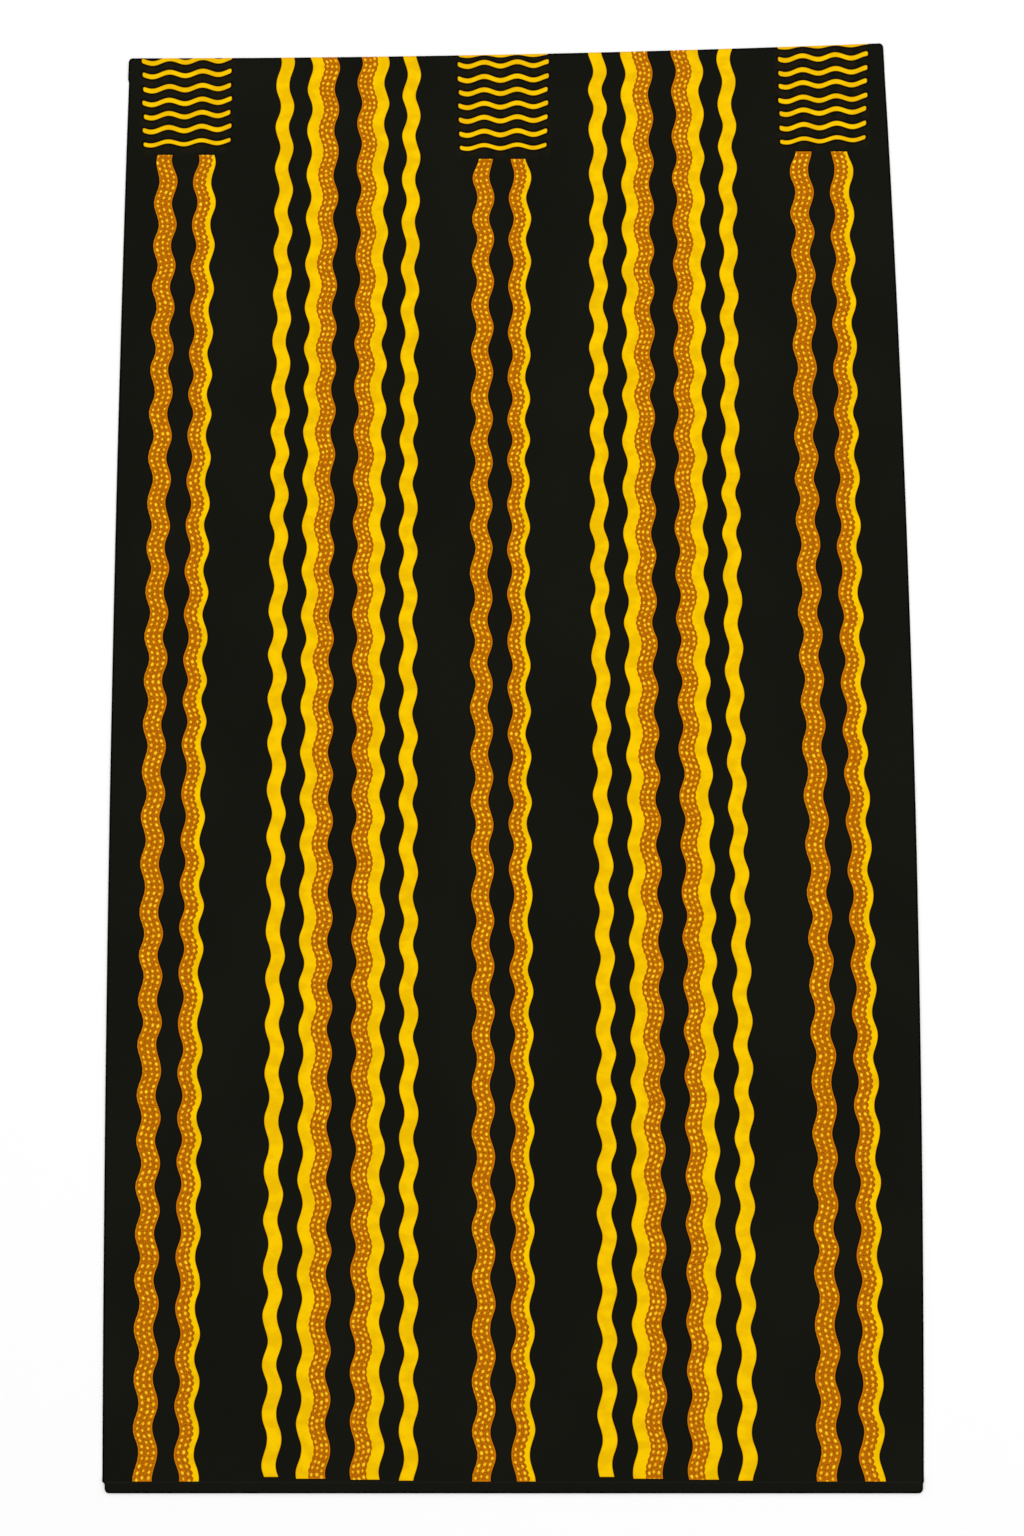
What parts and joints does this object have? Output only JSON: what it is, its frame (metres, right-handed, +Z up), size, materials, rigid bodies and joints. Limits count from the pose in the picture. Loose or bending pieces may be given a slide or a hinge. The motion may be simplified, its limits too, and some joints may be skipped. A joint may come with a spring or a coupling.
{
  "type": "wax print cloth panel",
  "caption": "Flat rectangular panel of wax print cotton with wavy stripes, dotted bands and blocks of wavy lines, hemmed at the foot and turned at the head.",
  "frame": {"origin": "under the middle of the panel's bounding box, on the surface that it lies on", "axes": "+X across the stripes to the right, +Y along the stripes from the hemmed foot to the turned head, +Z up out of the printed face"},
  "size_m": [0.6468, 1.1778, 0.0019],
  "materials": {
    "cloth": "printed plain weave cotton with a faint sheen"
  },
  "bodies": {
    "root": {"cloth": "cloth"}
  },
  "joints": []
}
